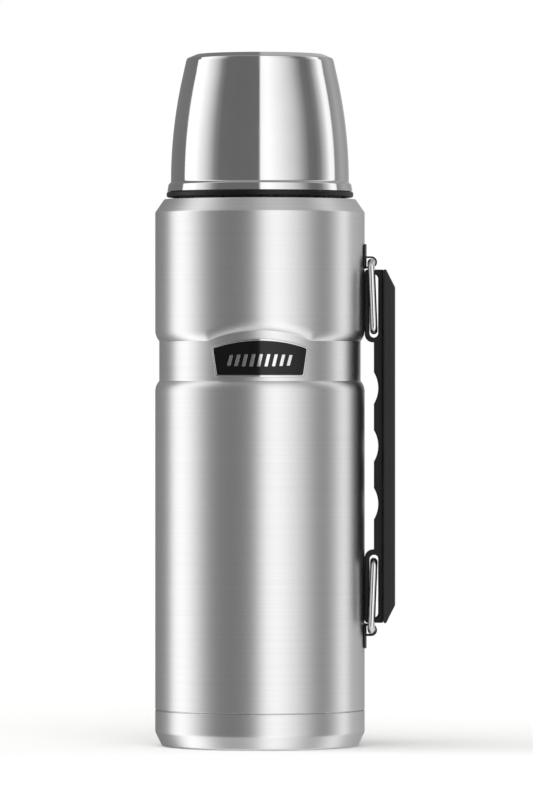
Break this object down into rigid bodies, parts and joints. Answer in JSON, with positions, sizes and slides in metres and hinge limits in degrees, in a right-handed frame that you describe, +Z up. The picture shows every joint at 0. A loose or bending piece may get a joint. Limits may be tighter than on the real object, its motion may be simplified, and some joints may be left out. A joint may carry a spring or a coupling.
{
  "type": "vacuum flask",
  "caption": "Cylindrical steel vacuum flask with a recessed badge band, a screw-on cup, a screw stopper and a handle that folds flat on wire bails.",
  "frame": {"origin": "centre of the flat base, on the flask's axis", "axes": "+Z up along the flask's axis, +X towards the handle, -Y towards the badge"},
  "size_m": [0.11, 0.096, 0.3168],
  "materials": {
    "brushed_steel": "brushed round the axis",
    "polished_steel": "polished",
    "polished_wire": "polished",
    "vessel_steel": "satin",
    "black_plastic": "moulded",
    "soft_black_cover": "soft-touch moulded",
    "black_coated_steel": "black powder coat",
    "copper_foil": "rolled foil",
    "sealing_solder": "as melted",
    "getter_alloy": "pressed powder",
    "grey_liner_plastic": "moulded",
    "silicone": "moulded",
    "foam": "cut foam",
    "badge_enamel": "gloss enamel"
  },
  "bodies": {
    "flask": {"outer_shell": "brushed_steel", "base_cap": "brushed_steel", "outer_bottom": "vessel_steel", "vacuum_plug": "sealing_solder", "inner_vessel": "vessel_steel", "inner_bottom": "vessel_steel", "reflective_foil": "copper_foil", "getter": "getter_alloy", "getter_clip": "vessel_steel", "badge_frame": "polished_steel", "badge_inlay": "badge_enamel", "upper_bracket": "black_coated_steel", "lower_bracket": "black_coated_steel"},
    "upper_wire": {"upper_bail": "polished_wire"},
    "lower_wire": {"lower_bail": "polished_wire"},
    "handle": {"handle_grip": "black_plastic", "handle_cover": "soft_black_cover"},
    "cup_lifter": {"cup_ring": "black_plastic"},
    "cup": {"cup_shell": "polished_steel", "cup_liner": "grey_liner_plastic"},
    "stopper_lifter": {"stopper_seal": "silicone"},
    "stopper": {"stopper_body": "black_plastic", "stopper_knob": "black_plastic", "stopper_foam": "foam", "seal_retainer": "grey_liner_plastic"}
  },
  "joints": [
    {"name": "handle_swing", "type": "hinge", "parent": "flask", "child": "upper_wire", "pos_m": [0.0509, 0, 0.2215], "axis": [0, -1, 0], "range_deg": [0, 48]},
    {"name": "handle_level", "type": "hinge", "parent": "upper_wire", "child": "handle", "pos_m": [0.0522, 0, 0.1901], "axis": [0, -1, 0], "range_deg": [-48, 0]},
    {"name": "lower_bail_swing", "type": "hinge", "parent": "flask", "child": "lower_wire", "pos_m": [0.0509, 0, 0.0531], "axis": [0, -1, 0], "range_deg": [-48, 0]},
    {"name": "cup_lift", "type": "slide", "parent": "flask", "child": "cup_lifter", "axis": [0, 0, 1], "range_m": [0, 0.06]},
    {"name": "cup_turn", "type": "hinge", "parent": "cup_lifter", "child": "cup", "pos_m": [0, 0, 0.2512], "axis": [0, 0, 1], "range_deg": [0, 3600]},
    {"name": "stopper_lift", "type": "slide", "parent": "flask", "child": "stopper_lifter", "axis": [0, 0, 1], "range_m": [0, 0.015]},
    {"name": "stopper_turn", "type": "hinge", "parent": "stopper_lifter", "child": "stopper", "pos_m": [0, 0, 0.2464], "axis": [0, 0, 1], "range_deg": [0, 900]}
  ],
  "couplings": [
    {"joint": "handle_level", "follows": "handle_swing", "ratio": -1},
    {"joint": "lower_bail_swing", "follows": "handle_swing", "ratio": -1},
    {"joint": "cup_lift", "follows": "cup_turn", "m_per_rad": 0.00095493},
    {"joint": "stopper_lift", "follows": "stopper_turn", "m_per_rad": 0.00095493}
  ]
}
